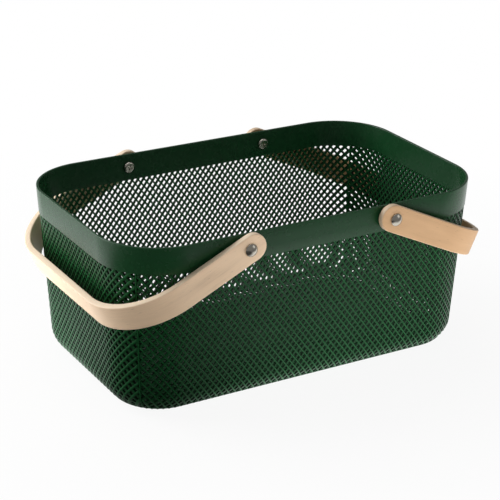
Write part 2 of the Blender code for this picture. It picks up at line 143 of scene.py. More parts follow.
class BasketFastenerSizes(PropertyGroup):
    dome_radius: metres("Dome radius", "Radius of a nut's domed head", 0.0060)
    dome_rim: metres("Dome rim", "Height of the dome's straight rim", 0.0006)
    dome_height: metres("Dome height", "Height of the domed head", 0.0034)
    dome_edge: metres("Dome edge", "Bevel of a nut's edges", 0.00018)
    socket_depth: metres("Socket depth", "How deep a nut's bore shows", 0.0030)
    socket_play: metres("Socket play", "Free play of a screw's shank in its nut", 0.0002)
    barrel_radius: metres("Barrel radius", "Radius of the nut's barrel", 0.0029)
    barrel_play: metres("Barrel play", "Free play of the barrel in its holes", 0.0003)
    head_radius: metres("Head radius", "Radius of a screw's pan head", 0.0055)
    head_height: metres("Head height", "Height of a screw's pan head", 0.0028)
    head_round: metres("Head rounding", "Radius of a screw head's shoulder", 0.0017)
    small_edge: metres("Small edge", "Bevel of the screws' and washers' edges", 0.0002)
    shank_radius: metres("Shank radius", "Radius of a screw's shank", 0.0018)
    recess_reach: metres("Recess reach", "Half the span of the cross in a screw's head", 0.0031)
    recess_width: metres("Recess width", "Width of the cross in a screw's head", 0.0014)
    recess_depth: metres("Recess depth", "Depth of the cross in a screw's head", 0.0013)
    washer_radius: metres("Washer radius", "Radius of a spacer washer", 0.0072)


class BasketFinishes(PropertyGroup):
    plastic: colour("Plastic", "Deep green of the moulded plastic", (0.0058, 0.0480, 0.0140))
    plastic_thin: colour("Plastic, pale", "Paler green of the cloudy patches", (0.0070, 0.0560, 0.0165))
    plastic_flow: colour("Plastic, flow", "Darker green of the flow marks", (0.0046, 0.0400, 0.0115))
    plastic_roughness: portion("Plastic roughness", "Roughness of the moulded plastic", 0.27)
    band_shine: portion("Band shine", "Specular level of the plain plastic", 0.34)
    mesh_shine: portion("Mesh shine", "Specular level of the ribs", 0.14)
    # Painted light on the ribs: their crests are painted lighter as a highlight and their feet darker as
    # shade.
    crest_tone: amount("Crest tone", "How light the ribs' crests are", 1.85)
    foot_tone: amount("Foot tone", "How light the ribs' feet are", 0.25)
    wood_pale: colour("Wood, pale", "Pale wood of the left handle", (0.84, 0.610, 0.405))
    wood_warm: colour("Wood, warm", "Warmer wood of the right handle", (0.560, 0.335, 0.165))
    wood_line: colour("Grain line", "Tone of the darker grain lines", (0.50, 0.31, 0.175))
    wood_side: colour("Sawn side", "Cream tone of the strips' sawn sides", (0.80, 0.73, 0.60))
    wood_pore: colour("Pores", "Tone of the short dark pores", (0.09, 0.05, 0.028))
    wood_roughness: portion("Wood roughness", "Roughness of the lacquered wood", 0.48)
    wood_shine: portion("Wood shine", "Specular level of the lacquered wood", 0.35)
    metal: colour("Metal", "Tone of the plated steel", (0.62, 0.575, 0.48))
    metal_dull: colour("Metal, dull", "Tone of the steel's duller patches", (0.44, 0.42, 0.385))
    nylon: colour("Nylon", "Tone of the dark washers", (0.018, 0.020, 0.019))
    nylon_pale: colour("Nylon, pale", "Tone of the washers' paler patches", (0.034, 0.037, 0.035))
    nylon_shine: portion("Nylon shine", "Specular level of the washers", 0.30)


class BasketStageSizes(PropertyGroup):
    azimuth: degrees("Azimuth", "Where the camera stands round the basket", -30.28)
    elevation: degrees("Elevation", "How far the camera looks down", 22.61)
    roll: degrees("Roll", "Lean of the camera", 0.79)
    camera_place: spot("Camera place", "Where the camera stands", (-0.7378, -1.2575, 0.7008))
    lens: amount("Lens", "Focal length on a 36 mm sensor, in millimetres", 119.94)
    # Painted shade: the floor's dark patch, its dim part and its darker reflection in front darken the
    # basket's light and reflections. The camera doesn't see them.
    shade_place: spot("Shade place", "Middle of the dark patch on the floor", (-0.40, -0.35, 0.0))
    shade_radius: metres("Shade radius", "Radius of the dark patch on the floor", 0.34)
    dim_place: spot("Dim place", "Front left corner of the floor's dim part", (0.12, -0.18, 0.0))
    mirror_edge: metres("Mirror edge", "How far in front the floor's reflection turns dark", 0.42)
    shadow: portion("Shadow", "How much of its shadow the floor keeps near the basket", 0.08)
    sky: amount("Sky", "Strength of the even light from all round", 0.12)
    sheen: amount("Sheen", "Brightness of the surroundings in reflections", 0.25)
    # Painted light: the floor glows onto the basket, though it is no lamp.
    table: amount("Table", "Strength of the light that the floor sends up on the left", 3.2)
    front: amount("Front floor", "Strength of the light that the rest of the floor sends up", 1.95)
    table_place: spot("Table place", "Where the floor sends up most light", (-0.55, 0.25, 0.0))
    table_reach: metres("Table reach", "How far that light spreads over the floor", 0.70)
    key: amount("Top light", "Power of the large light overhead, in watts", 9)
    side: amount("Side light", "Power of the light on the left, in watts", 26)
    fill: amount("Front light", "Power of the light in front on the right, in watts", 2)


# Mesh helpers

def add_object(name, mesh):
    piece = bpy.data.objects.new(name, mesh)
    bpy.context.scene.collection.objects.link(piece)
    return piece


def mesh_piece(name, points, faces, crease=30, clean=False):
    """A closed mesh from points and faces, shaded smooth up to the crease angle."""
    mesh = bpy.data.meshes.new(name)
    mesh.from_pydata([tuple(point) for point in np.asarray(points).reshape(-1, 3)], [], faces)
    face_outward(mesh, clean)
    shade(mesh, crease)
    return add_object(name, mesh)


def face_outward(mesh, clean=False):
    """Turns every face outward, after joining points that lie together where asked."""
    shape = bmesh.new()
    shape.from_mesh(mesh)
    if clean:
        bmesh.ops.remove_doubles(shape, verts=shape.verts, dist=1e-6)
    bmesh.ops.recalc_face_normals(shape, faces=shape.faces)
    shape.to_mesh(mesh)
    shape.free()


def shade(mesh, crease):
    mesh.polygons.foreach_set("use_smooth", [True] * len(mesh.polygons))
    mesh.set_sharp_from_angle(angle=math.radians(crease))


def grid_faces(rows, columns, start=0, rows_meet=False, columns_meet=True):
    """Quads between the rows of a grid of points, which may close on itself either way."""
    faces = []
    for i in range(rows if rows_meet else rows - 1):
        here = start + i * columns
        there = start + (i + 1) % rows * columns
        for j in range(columns if columns_meet else columns - 1):
            k = (j + 1) % columns
            faces.append((here + j, here + k, there + k, there + j))
    return faces


def turned(name, profile, place, outward, steps=64, crease=30):
    """A piece turned about an axis: profile is pairs of radius and distance along the axis."""
    across = outward.orthogonal().normalized()
    other = outward.cross(across)
    points = []
    for i in range(steps):
        turn = 2 * math.pi * i / steps
        arm = across * math.cos(turn) + other * math.sin(turn)
        points += [place + arm * radius + outward * along for radius, along in profile]
    faces = grid_faces(steps, len(profile), rows_meet=True, columns_meet=False)
    return mesh_piece(name, points, faces, crease, clean=True)


def cut(piece, cutters, crease):
    """Cuts the given pieces out of a piece, removes them and shades what stays."""
    for cutter in cutters:
        change = piece.modifiers.new("cut", "BOOLEAN")
        change.operation = "DIFFERENCE"
        change.solver = "EXACT"
        change.object = cutter
    bpy.context.view_layer.update()
    solid = piece.evaluated_get(bpy.context.evaluated_depsgraph_get())
    mesh = bpy.data.meshes.new_from_object(solid)
    old = piece.data
    piece.modifiers.clear()
    piece.data = mesh
    shade(mesh, crease)
    bpy.data.meshes.remove(old)
    for cutter in cutters:
        bpy.data.objects.remove(cutter)


def round_corner(centre, radius, start, end, steps):
    """Points of an arc between two angles in degrees."""
    turns = np.radians(np.linspace(start, end, steps + 1))
    return [(centre[0] + radius * math.cos(t), centre[1] + radius * math.sin(t)) for t in turns]


def dress(piece, finish, slot, body, *nodes):
    """Gives a piece its finish, its body and the solids it stands for."""
    piece.data.materials.clear()
    piece.data.materials.append(finish)
    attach(piece, body)
    if nodes:
        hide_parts(*nodes)


def dress_tub(piece, finish):
    dress(piece, finish, "green_plastic", TUB, "basket")


def pivot_drill(fasteners, place, outward, length):
    """A round bar that cuts a pivot hole, wider than the barrel by its free play."""
    bore = fasteners.barrel_radius + fasteners.barrel_play
    return turned("drill", [(0, 0), (bore, 0), (bore, length), (0, length)], place, outward, 32)


def fasteners_of(kind):
    """For each of the four of a kind: its corner and node, where its axis crosses the middle plane,
    the way it points, and how far from that plane its two ends lie."""
    for corner, (_, sign_y) in CORNERS.items():
        node = kind + "_" + corner
        low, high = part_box(node)
        near, far = sorted((abs(low.y), abs(high.y)))
        place = Vector(((low.x + high.x) / 2, 0, (low.z + high.z) / 2))
        yield corner, node, place, Vector((0, sign_y, 0)), near, far


# The tub's shape

class TubShape:
    """Where a point of a wall, of the base or of the rim lies. A place on a wall is given as it is
    drawn from the side: how far along, how high, and how deep behind the mesh's outer face."""

    def __init__(self, sizes):
        self.sizes = sizes
        self.half_length = sizes.length / 2 - sizes.band_proud
        self.half_width = sizes.width / 2 - sizes.band_proud
        self.radius = sizes.corner_radius - sizes.band_proud
        self.flat_x = self.half_length - self.radius
        self.flat_y = self.half_width - self.radius
        self.lean_in = math.sin(sizes.draft)
        self.lean_up = math.cos(sizes.draft)
        bend = sizes.bottom_radius
        self.foot = (sizes.height - sizes.clearance - bend * (1 - self.lean_in)) / self.lean_up
        self.bend_inset = self.foot * self.lean_in + bend * self.lean_up
        self.bend_height = sizes.clearance + bend
        self.foot_height = sizes.height - self.foot * self.lean_up
        self.seam_inset = self.bend_inset - math.cos(sizes.foot_turn) * bend
        self.seam_height = self.bend_height - math.sin(sizes.foot_turn) * bend
        self.mesh_top = sizes.height - sizes.band_height + sizes.band_foot * 0.8

    def inset_at(self, height, depth):
        """How far a wall lies inside the rim's outline at a height."""
        down = (self.sizes.height + depth * self.lean_in - height) / self.lean_up
        straight = down * self.lean_in + depth * self.lean_up
        bend = self.sizes.bottom_radius - depth
        turn = np.clip((self.bend_height - height) / bend, -1, 1)
        curved = self.bend_inset - np.sqrt(1 - turn ** 2) * bend
        return np.where(down < self.foot, straight, curved)

    def profile(self, turn, depth):
        """Inset and height on the bottom bend at a turn from the wall's face."""
        bend = self.sizes.bottom_radius - depth
        return self.bend_inset - math.cos(turn) * bend, self.bend_height - math.sin(turn) * bend

    def spans(self, wall):
        """Half the length of a wall, and how far it stands from the middle."""
        if wall in ("front", "back"):
            return self.half_length, self.half_width
        return self.half_width, self.half_length

    def seam_angle(self, wall):
        turn = self.sizes.seam_turn
        return turn if wall in ("front", "back") else math.pi / 2 - turn

    def seam_at(self, wall, height, depth):
        """How far along a wall its corner seams lie."""
        half, _ = self.spans(wall)
        radius = self.radius - self.inset_at(height, depth)
        return half - self.radius + radius * math.sin(self.seam_angle(wall))

    def wall_point(self, wall, along, height, depth):
        half, reach = self.spans(wall)
        inset = self.inset_at(height, depth)
        radius = self.radius - inset
        over = np.clip(np.abs(along) - (half - self.radius), 0, radius)
        out = reach - inset - radius + np.sqrt(radius ** 2 - over ** 2)
        sides = {"front": (along, -out), "back": (along, out), "left": (-out, along), "right": (out, along)}
        x, y = sides[wall]
        return np.stack([x, y, height + 0 * along], -1)

    def inset_of(self, x, y):
        """How far a place seen from above lies inside the rim's outline."""
        over_x = np.abs(x) - self.flat_x
        over_y = np.abs(y) - self.flat_y
        outside = np.hypot(np.maximum(over_x, 0), np.maximum(over_y, 0))
        return self.radius - outside - np.minimum(np.maximum(over_x, over_y), 0)

    def base_point(self, x, y, depth):
        bend = self.sizes.bottom_radius - depth
        over = np.clip(self.bend_inset - self.inset_of(x, y), 0, bend)
        return np.stack([x, y, self.bend_height - np.sqrt(bend ** 2 - over ** 2)], -1)

    def outline(self, steps):
        """Points round the rim's outline seen from above, with their outward directions."""
        places = []
        for x, y, start in ((1, 1, 0), (-1, 1, 90), (-1, -1, 180), (1, -1, 270)):
            for turn in np.radians(np.linspace(start, start + 90, steps + 1)):
                places.append((x * self.flat_x, y * self.flat_y, math.cos(turn), math.sin(turn)))
        return np.array(places)

    def sweep_round(self, name, section, steps=40, crease=30):
        """A closed section of insets and heights, swept once round the tub."""
        places = self.outline(steps)
        inset = np.array([point[0] for point in section])
        height = np.array([point[1] for point in section])
        radius = self.radius - inset
        x = places[:, 0:1] + places[:, 2:3] * radius
        y = places[:, 1:2] + places[:, 3:4] * radius
        points = np.stack([x, y, np.broadcast_to(height, x.shape)], -1)
        return mesh_piece(name, points, grid_faces(len(places), len(section), rows_meet=True), crease)


# The mesh of ribs

# A rib's flank from its foot up: shares of its half width and depth, then of its crest and its rounding.
RIB_FLANK = ((0.78, 1.0), (1.0, 0.94), (0.96, 0.45))
RIB_CREST = ((1.0, 1.0), (0.6, 0.2))

# Painted light on each point of a rib's or a seam's section, from painted shade at the foot (0) to a painted
# highlight on the crest (1).
RIB_PAINTED_LIGHT = (0.58, 0.0, 0.0, 0.6, 1.0, 1.0, 1.0, 0.6, 0.0, 0.0, 0.58)
SEAM_PAINTED_LIGHT = (0.5, 0.9, 0.9, 0.5, 0.5, 0.9, 0.9, 0.5)

# Each layer tries this many ribs either way, follows each one's line this far either way, and sets
# its rings this far apart where the wall bends.
RIBS_EACH_WAY = 90
RIB_REACH = 0.45
RIB_STRIDE = 0.0024

# A rib's ends are looked for at so many places along its line, then closed in on by halving.
LINE_SAMPLES = 240
LINE_HALVINGS = 24


def rib_section(sizes, outer, widen=1.0):
    """Offsets across a rib and depths into the wall, flat at the foot and round at the crest."""
    foot = sizes.rib_width * widen / 2
    crest = sizes.crest_width * widen / 2
    deep = sizes.rib_depth
    edge = sizes.crest_round
    flank = [(-foot * wide, deep * down) for wide, down in RIB_FLANK]
    flank += [(-crest * wide, edge * down) for wide, down in RIB_CREST]
    section = flank + [(0.0, 0.0)] + [(-offset, depth) for offset, depth in reversed(flank)]
    if outer:
        return section
    return [(offset, sizes.mesh_depth - depth) for offset, depth in section]


class Bars:
    """Closed bars, each swept along rings of points, gathered into one mesh."""

    def __init__(self):
        self.points = []
        self.faces = []
        self.tones = []
        self.count = 0

    def add(self, rings, tones):
        number, around, _ = rings.shape
        self.points.append(rings.reshape(-1, 3))
        self.tones += list(tones) * number
        self.faces += grid_faces(number, around, self.count)
        self.faces.append(tuple(range(self.count + around - 1, self.count - 1, -1)))
        self.count += number * around
        self.faces.append(tuple(range(self.count - around, self.count)))

    def piece(self, name):
        made = mesh_piece(name, np.concatenate(self.points), self.faces, crease=40)
        # Each point's painted light, from shade at the foot to a highlight on the crest, stored under the
        # name crest.
        made.data.attributes.new("crest", "FLOAT", "POINT").data.foreach_set("value", self.tones)
        return made


def clip_lines(inside, start, step):
    """The stretch of each line start + t * step that lies inside a region, as first and last t."""
    t = np.linspace(-RIB_REACH, RIB_REACH, LINE_SAMPLES)
    held = inside(start[:, None, 0] + t * step[0], start[:, None, 1] + t * step[1])
    found = held.any(1)
    first = held.argmax(1)
    last = LINE_SAMPLES - 1 - held[:, ::-1].argmax(1)
    ends = []
    for index, way in ((first, -1), (last, 1)):
        good = t[index]
        bad = t[np.clip(index + way, 0, LINE_SAMPLES - 1)]
        for _ in range(LINE_HALVINGS):
            middle = (good + bad) / 2
            ok = inside(start[:, 0] + middle * step[0], start[:, 1] + middle * step[1])
            good = np.where(ok, middle, good)
            bad = np.where(ok, bad, middle)
        ends.append(good)
    return found, ends[0], ends[1]


def rib_stations(curved, start, step, first, last):
    """Shares along a rib at which it gets a ring: close where the wall bends, none where it is flat."""
    t = np.linspace(first, last, max(3, int((last - first) / RIB_STRIDE) + 2))
    bent = curved(start[0] + t * step[0], start[1] + t * step[1])
    keep = bent.copy()
    keep[:-1] |= bent[1:]
    keep[1:] |= bent[:-1]
    keep[0] = keep[-1] = True
    return (t[keep] - first) / (last - first)


def rib_layer(bars, pitch, lean, section, inside, curved, place):
    """Adds one layer of parallel ribs. Pitch is the holes' spacing both ways and one hole's place."""
    across, down, hole_u, hole_v = pitch
    step = np.array([lean * across, down])
    step /= np.hypot(*step)
    square = np.array([step[1], -step[0]])
    offsets = [offset for offset, _ in section]
    depths = np.array([depth for _, depth in section])
    for k in range(-RIBS_EACH_WAY, RIBS_EACH_WAY):
        middle = np.array([hole_u + (k + 0.5) * across, hole_v])
        starts = np.array([middle + square * offset for offset in offsets])
        found, first, last = clip_lines(inside, starts, step)
        if not found.all() or (last - first).min() < RIB_STRIDE / 2:
            continue
        centre = len(section) // 2
        shares = rib_stations(curved, starts[centre], step, first[centre], last[centre])
        t = first + shares[:, None] * (last - first)
        u = starts[:, 0] + t * step[0]
        v = starts[:, 1] + t * step[1]
        bars.add(place(u, v, np.broadcast_to(depths, u.shape)), RIB_PAINTED_LIGHT)


def wall_mesh(name, shape, wall, pitch):
    """One wall's two crossing layers of ribs, from corner seam to corner seam and band to foot."""
    sizes = shape.sizes
    half, _ = shape.spans(wall)

    def inside(along, height):
        reach = shape.seam_at(wall, height, sizes.mesh_depth / 2)
        return (height < shape.mesh_top) & (height > shape.seam_height) & (np.abs(along) < reach)

    def curved(along, height):
        return (np.abs(along) > half - shape.radius) | (height < shape.foot_height)

    def place(along, height, depth):
        return shape.wall_point(wall, along, height, depth)

    lean = -1 if wall in ("front", "left") else 1
    widen = sizes.end_ribs if wall in ("left", "right") else 1.0
    bars = Bars()
    for way, outer in ((lean, True), (-lean, False)):
        rib_layer(bars, pitch, way, rib_section(sizes, outer, widen), inside, curved, place)
    return bars.piece(name)


def base_mesh(name, shape, pitch):
    """The base's two crossing layers of ribs, inside the foot seam and round the plain disc."""
    def inside(x, y):
        return shape.inset_of(x, y) > shape.seam_inset

    def curved(x, y):
        return shape.inset_of(x, y) < shape.bend_inset

    bars = Bars()
    for lean, outer in ((1, True), (-1, False)):
        rib_layer(bars, pitch, lean, rib_section(shape.sizes, outer), inside, curved, shape.base_point)
    return bars.piece(name)


def seam_section(sizes):
    """Offsets across a plain seam and depths into the wall, round its section."""
    half = sizes.seam_width / 2
    edge = sizes.crest_round
    deep = sizes.mesh_depth
    return [(-half, edge), (-half * 0.6, 0.0), (half * 0.6, 0.0), (half, edge),
            (half, deep - edge), (half * 0.6, deep), (-half * 0.6, deep), (-half, deep - edge)]


def corner_seams(name, shape):
    """The four plain ribs in the corners, where the side walls' mesh meets the ends' mesh."""
    heights = np.concatenate([np.linspace(shape.mesh_top, shape.foot_height, 3),
                              np.linspace(shape.foot_height, shape.seam_height, 14)[1:]])
    turn = shape.sizes.seam_turn
    out = np.array([math.sin(turn), math.cos(turn)])
    side = np.array([out[1], -out[0]])
    centre = np.array([shape.flat_x, shape.flat_y])
    bars = Bars()
    for sign in CORNERS.values():
        rings = []
        for height in heights:
            for offset, depth in seam_section(shape.sizes):
                place = centre + out * (shape.radius - shape.inset_at(height, depth)) + side * offset
                rings.append((*(place * sign), height))
        bars.add(np.array(rings).reshape(len(heights), -1, 3), SEAM_PAINTED_LIGHT)
    return bars.piece(name)


# Shader maths

class Wire:
    """One varying value of a finish. Arithmetic on it adds Math nodes."""

    def __init__(self, finish, socket):
        self.finish = finish
        self.socket = socket

    def math(self, operation, first, second):
        return self.finish.add("ShaderNodeMath", {"operation": operation}, {0: first, 1: second})

    def __add__(self, other):
        return self.math("ADD", self, other)

    __radd__ = __add__

    def __sub__(self, other):
        return self.math("SUBTRACT", self, other)

    def __rsub__(self, other):
        return self.math("SUBTRACT", other, self)

    def __mul__(self, other):
        return self.math("MULTIPLY", self, other)

    __rmul__ = __mul__

    def __truediv__(self, other):
        return self.math("DIVIDE", self, other)

    def held(self):
        """The value kept between nought and one."""
        return self.finish.add("ShaderNodeClamp", {}, {"Value": self})


class Finish:
    """A material, or the world, under construction."""

    def __init__(self, holder):
        self.holder = holder
        holder.use_nodes = True
        self.tree = holder.node_tree
        self.tree.nodes.clear()

    def add(self, kind, settings, inputs, output=0):
        """Adds a node with its settings and its inputs, and gives one of its outputs."""
        node = self.tree.nodes.new(kind)
        for key, value in settings.items():
            if key == "stops":
                ramp = node.color_ramp
                while len(ramp.elements) < len(value):
                    ramp.elements.new(1.0)
                for element, (place, colour) in zip(ramp.elements, value):
                    element.position = place
                    element.color = (*colour, 1)
            else:
                setattr(node, key, value)
        for key, value in inputs.items():
            if isinstance(value, Wire):
                self.tree.links.new(value.socket, node.inputs[key])
            else:
                node.inputs[key].default_value = value
        return Wire(self, node.outputs[output])

    def place(self):
        return self.add("ShaderNodeTexCoord", {}, {}, "Object")

    def stored(self, name, output="Fac"):
        """What the piece's own points hold under a name."""
        settings = {"attribute_name": name, "attribute_type": "GEOMETRY"}
        return self.add("ShaderNodeAttribute", settings, {}, output)

    def ray(self, kind):
        """One for a ray of this kind, and nought for others."""
        return self.add("ShaderNodeLightPath", {}, {}, "Is " + kind + " Ray")

    def distance(self, place, point):
        return self.add("ShaderNodeVectorMath", {"operation": "DISTANCE"}, {0: place, 1: tuple(point)}, 1)

    def scaled(self, colour, share):
        return self.add("ShaderNodeVectorMath", {"operation": "SCALE"}, {0: colour, "Scale": share})

    def noise(self, place, scale, detail, roughness=0.55):
        inputs = {"Vector": place, "Scale": scale, "Detail": detail, "Roughness": roughness}
        return self.add("ShaderNodeTexNoise", {}, inputs)

    def streaks(self, place, scales, detail, roughness=0.55):
        """Noise with a scale of its own along each axis."""
        place = self.add("ShaderNodeVectorMath", {"operation": "MULTIPLY"}, {0: place, 1: scales})
        return self.noise(place, 1.0, detail, roughness)

    def blend(self, share, first, second):
        """Mixes two colours."""
        first, second = [colour if isinstance(colour, Wire) else (*colour, 1) for colour in (first, second)]
        return self.add("ShaderNodeMix", {"data_type": "RGBA"}, {0: share, 6: first, 7: second}, 2)

    def either(self, share, first, second):
        """Mixes two shaders."""
        return self.add("ShaderNodeMixShader", {}, {0: share, 1: first, 2: second})

    def ramp(self, value, stops):
        return self.add("ShaderNodeValToRGB", {"stops": stops}, {0: value})

    def bump(self, height, strength, distance):
        return self.add("ShaderNodeBump", {}, {"Strength": strength, "Distance": distance, "Height": height})

    def surface(self, tone, rough, normal, shine=0.5, metallic=0.0):
        inputs = {"Base Color": tone, "Metallic": metallic, "Roughness": rough,
                  "Specular IOR Level": shine, "Normal": normal}
        return self.output(self.add("ShaderNodeBsdfPrincipled", {}, inputs))

    def output(self, shader, kind="ShaderNodeOutputMaterial"):
        node = self.tree.nodes.new(kind)
        self.tree.links.new(shader.socket, node.inputs["Surface"])
        return self.holder


def moulded_plastic(colours):
    """The plain green plastic of the band, the base's ring and its disc."""
    return green_plastic("moulded_green_plastic", colours, colours.band_shine, False)


def mesh_plastic(colours):
    """The same plastic in the ribs, with a painted highlight on their crests and painted shade at their
    feet.
    """
    return green_plastic("mesh_green_plastic", colours, colours.mesh_shine, True)


def green_plastic(name, colours, shine, painted_rib_light):
    finish = Finish(bpy.data.materials.new(name))
    place = finish.place()
    cloud = finish.noise(place, 26.0, 4.0)
    flow = finish.streaks(place, (14.0, 14.0, 70.0), 3.0)
    tone = finish.blend((cloud * 1.6 - 0.3).held(), colours.plastic, colours.plastic_thin)
    tone = finish.blend((flow * 0.35).held(), tone, colours.plastic_flow)
    # Painted light on the ribs: a painted highlight on their crests and painted shade at their feet.
    if painted_rib_light:
        light = colours.foot_tone + finish.stored("crest") * (colours.crest_tone - colours.foot_tone)
        tone = finish.scaled(tone, light)
    smear = finish.noise(place, 90.0, 3.0)
    rough = colours.plastic_roughness - 0.06 + smear * 0.12
    grain = finish.noise(place, 1500.0, 2.0)
    ripple = finish.noise(place, 55.0, 2.0)
    return finish.surface(tone, rough, finish.bump(grain * 0.25 + ripple, 0.25, 0.00022), shine)


def bent_wood(name, colours, wood):
    """Lacquered wood with its grain along the strip, and paler sawn sides."""
    finish = Finish(bpy.data.materials.new(name))
    grain = finish.stored("grain", "Vector")
    cloud = finish.streaks(grain, (22.0, 70.0, 40.0), 2.0)
    broad = finish.streaks(grain, (9.0, 160.0, 160.0), 3.0)
    lines = finish.streaks(grain, (24.0, 900.0, 900.0), 4.0, 0.6)
    hair = finish.streaks(grain, (90.0, 3000.0, 3000.0), 2.0)
    fleck = finish.streaks(grain, (120.0, 1300.0, 1300.0), 1.0)
    pore = ((fleck - 0.71) * 9.0).held()
    light = tuple(min(1.0, value * 1.10 + 0.02) for value in wood)
    stops = [(0.12, colours.wood_line), (0.43, wood), (0.68, light)]
    tone = finish.ramp(cloud * 0.45 + broad * 0.30 + lines * 0.25, stops)
    tone = finish.blend(((hair - 0.56) * 0.9).held(), tone, colours.wood_line)
    tone = finish.blend(pore * 0.7, tone, colours.wood_pore)
    sawn = finish.blend(lines, colours.wood_side, light)
    tone = finish.blend((finish.stored("side") * 0.85).held(), tone, sawn)
    rough = colours.wood_roughness - 0.08 + lines * 0.18 + pore * 0.25
    normal = finish.bump(lines * 0.5 + hair * 0.35 - pore, 0.30, 0.00015)
    return finish.surface(tone, rough, normal, colours.wood_shine)


def plated_steel(colours):
    finish = Finish(bpy.data.materials.new("plated_steel"))
    place = finish.place()
    cloud = finish.noise(place, 160.0, 3.0)
    tone = finish.blend((cloud * 1.4 - 0.2).held(), colours.metal, colours.metal_dull)
    scratch = finish.streaks(place, (900.0, 900.0, 4200.0), 2.0)
    rough = 0.13 + finish.noise(place, 420.0, 3.0) * 0.12
    return finish.surface(tone, rough, finish.bump(scratch, 0.08, 0.00005), metallic=1.0)


def dark_nylon(colours):
    finish = Finish(bpy.data.materials.new("dark_nylon"))
    place = finish.place()
    cloud = finish.noise(place, 380.0, 3.0)
    tone = finish.blend(cloud, colours.nylon, colours.nylon_pale)
    normal = finish.bump(finish.noise(place, 2600.0, 2.0), 0.2, 0.00008)
    return finish.surface(tone, 0.48 + cloud * 0.15, normal, colours.nylon_shine)


def shared_finish(make):
    """A finish that several pieces share, made once."""
    store = bpy.context.scene
    key = "finish_" + make.__name__
    if key not in store:
        store[key] = make(store.basket_finishes)
    return store[key]


# Operators

# How far a drill for the rim's holes reaches either way from the rim's face.
RIM_DRILL = 0.02

# How far inside a strip's face a drill for its holes starts, and its length.
STRIP_DRILL = (0.01, 0.03)

# The gate disc's two faces: shares of its radius, and how far each point lies above the face.
DISC_UNDER = ((0, 0.0007), (0.13, 0.0007), (0.16, 0.0002), (0.90, 0))
DISC_OVER = ((0.86, 0), (0.82, -0.0005), (0.18, -0.0005), (0.14, 0.0004), (0.06, 0.0006), (0, 0.0006))

# How far the middle, a ring round it and the shoulder of a screw's head lie behind its top.
HEAD_DISH = (0.0003, 0.0002, 0.00025)
HEAD_RING = 0.35

# How far a cross's cutter stands out of a screw's head, its reach at the bottom, and how far each
# cross is turned, in radians.
CROSS_OVERRUN = 0.0005
CROSS_TAPER = 0.62
CROSS_TURN = 0.35
CROSS_TURN_STEP = 0.9

# Where a nut's dome begins inside its rim, as a share of its turn, and its rings.
DOME_START = 0.985
DOME_RINGS = 14

# How finely a strip is divided: half across, round an edge, along the grip, round a bend and its end.
ACROSS_STEPS, EDGE_STEPS, GRIP_STEPS, BEND_STEPS, END_STEPS = 6, 5, 8, 48, 28

# Where the grain of each strip starts, so that the two differ.
GRAIN_START = {1: (0.31, 0.05, 0.02), -1: (1.47, -0.05, 0.02)}


class BASKET_OT_rim(Operator):
    """Build the plain band under the rim, with the four holes for the pivots"""
    bl_idname = "basket.rim"
    bl_label = "Rim band"

    def execute(self, context):
        sizes = context.scene.basket_tub
        fasteners = context.scene.basket_fasteners
        shape = TubShape(sizes)
        radius = sizes.band_round
        lean = math.tan(sizes.draft)
        low = sizes.height - sizes.band_height
        high = sizes.height
        outer = -sizes.band_proud
        inner = sizes.band_back
        deep = sizes.mesh_depth
        foot = sizes.foot_round
        section = round_corner((outer + radius, high - radius), radius, 180, 90, 5)
        section += round_corner((inner - radius, high - radius), radius, 90, 0, 5)
        section.append((deep, low + sizes.band_foot))
        section += round_corner((deep - foot, low + foot), foot, 0, -90, 3)
        section += round_corner((outer + foot, low + foot), foot, -90, -180, 3)
        section = [(x + (high - z) * lean, z) for x, z in section]
        band = shape.sweep_round("rim_band", section)
        drills = []
        for sign_x, sign_y in CORNERS.values():
            pivot = PIVOTS["right_bail" if sign_x > 0 else "left_bail"]
            start = Vector((pivot.x, sign_y * (shape.half_width - RIM_DRILL), pivot.z))
            drills.append(pivot_drill(fasteners, start, Vector((0, sign_y, 0)), 2 * RIM_DRILL))
        cut(band, drills, 35)
        dress_tub(band, shared_finish(moulded_plastic))
        return {"FINISHED"}


class BASKET_OT_walls(Operator):
    """Build the crossing ribs of the four walls and the seams in the corners"""
    bl_idname = "basket.walls"
    bl_label = "Wall mesh"

    def execute(self, context):
        shape = TubShape(context.scene.basket_tub)
        spacing = context.scene.basket_mesh
        plastic = shared_finish(mesh_plastic)
        for wall in ("front", "back", "left", "right"):
            dress_tub(wall_mesh("mesh_" + wall, shape, wall, tuple(getattr(spacing, wall))), plastic)
        dress_tub(corner_seams("corner_seams", shape), plastic)
        return {"FINISHED"}


class BASKET_OT_base(Operator):
    """Build the base: its mesh, the seam round it, the ring it rests on and the disc in the middle"""
    bl_idname = "basket.base"
    bl_label = "Base"

    def execute(self, context):
        sizes = context.scene.basket_tub
        shape = TubShape(sizes)
        plastic = shared_finish(moulded_plastic)
        seam = [shape.profile(sizes.foot_turn + offset / sizes.bottom_radius, depth)
                for offset, depth in seam_section(sizes)]
        edge = sizes.clearance
        near = shape.bend_inset + edge
        far = shape.bend_inset + sizes.ring_width - edge
        high = sizes.mesh_depth + 2 * sizes.clearance
        ring = []
        for centre, start in (((near, edge), 270), ((near, high - edge), 180), ((far, high - edge), 90),
                              ((far, edge), 0)):
            ring += round_corner(centre, edge, start, start - 90, 3)
        mesh = base_mesh("base_mesh", shape, tuple(context.scene.basket_mesh.base))
        dress_tub(mesh, shared_finish(mesh_plastic))
        dress_tub(shape.sweep_round("base_seam", seam), plastic)
        dress_tub(shape.sweep_round("base_ring", ring), plastic)
        disc = sizes.disc_radius
        profile = [(disc * share, lift) for share, lift in DISC_UNDER]
        profile += [(disc - edge, 0), (disc, edge), (disc, high - edge), (disc - edge, high)]
        profile += [(disc * share, high + lift) for share, lift in DISC_OVER]
        dress_tub(turned("gate_disc", profile, Vector((0, 0, 0)), UP, 72), plastic)
        return {"FINISHED"}


